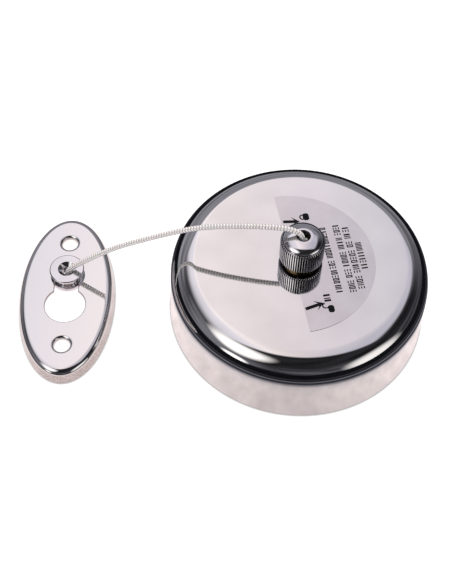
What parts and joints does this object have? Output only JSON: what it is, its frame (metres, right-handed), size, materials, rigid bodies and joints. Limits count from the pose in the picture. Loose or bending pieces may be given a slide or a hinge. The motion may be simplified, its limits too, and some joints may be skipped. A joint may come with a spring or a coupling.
{
  "type": "retractable clothesline",
  "caption": "Round polished wall housing with a sprung line drum and a knurled line lock; its braided line ends in a button hooked in an oval keyhole wall bracket.",
  "frame": {"origin": "the wall unit's axis in the plane of its back face", "axes": "+Z out of the wall along the unit's axis, +X away from the bracket"},
  "size_m": [0.136, 0.085, 0.0425],
  "materials": {
    "polished_steel": "mirror-polished stainless steel",
    "zinc_steel": "bright zinc plate",
    "spring_steel": "oiled, blued strip",
    "polished_tube": "polished inside",
    "black_plastic": "moulded, fine texture",
    "white_acetal": "moulded, satin",
    "brass": "turned, slightly darkened",
    "chromed_brass": "polished chrome plate",
    "label_film": "satin printed film",
    "nylon_line": "round braided nylon"
  },
  "bodies": {
    "housing": {"wall_plate": "zinc_steel", "cover_shell": "polished_steel", "lock_screw": "zinc_steel", "base_frame": "black_plastic", "arbor_shaft": "zinc_steel", "spiral_spring": "spring_steel", "thrust_washer": "zinc_steel", "arbor_clip": "spring_steel", "line_guide_tube": "polished_tube", "drum_cover": "black_plastic", "cover_screws": "zinc_steel", "post_screws": "zinc_steel", "roller_pin": "zinc_steel", "threaded_post": "brass", "post_nut": "brass", "line_collet": "white_acetal", "instruction_label": "label_film", "line_held": "nylon_line", "line_free": "nylon_line"},
    "drum": {"line_drum": "white_acetal", "barrel_lid": "white_acetal", "line_winding": "nylon_line"},
    "roller": {"guide_roller": "white_acetal"},
    "lock_ring": {"clamp_ring": "brass"},
    "knob": {"lock_knob": "chromed_brass"},
    "button": {"end_button": "chromed_brass", "line_knot": "nylon_line"},
    "bracket": {"wall_bracket": "polished_steel"}
  },
  "joints": [
    {"name": "line_pull", "type": "slide", "parent": "housing", "child": "button", "axis": [-0.9965, 0.0832, 0], "range_m": [-0.008, 2.7], "deforming": ["line_free"]},
    {"name": "drum_spin", "type": "hinge", "parent": "housing", "child": "drum", "pos_m": [0, 0, 0], "axis": [0, 0, 1], "range_deg": [-25, 5765], "deforming": ["spiral_spring"]},
    {"name": "roller_spin", "type": "hinge", "parent": "housing", "child": "roller", "pos_m": [0.00167, -0.00255, 0.02145], "axis": [0.8365, 0.5479, 0], "continuous": true},
    {"name": "lock_lift", "type": "slide", "parent": "housing", "child": "lock_ring", "axis": [0, 0, 1], "range_m": [0, 0.000333]},
    {"name": "knob_turn", "type": "hinge", "parent": "lock_ring", "child": "knob", "pos_m": [0, 0, 0], "axis": [0, 0, 1], "range_deg": [-5, 125]},
    {"name": "keyhole_slide", "type": "slide", "parent": "button", "child": "bracket", "axis": [-0.0349, 0.9994, 0], "range_m": [0, 0.013]}
  ],
  "couplings": [
    {"joint": "drum_spin", "follows": "line_pull", "rad_per_m": 37.234},
    {"joint": "knob_turn", "follows": "lock_lift", "rad_per_m": 6283.2}
  ]
}
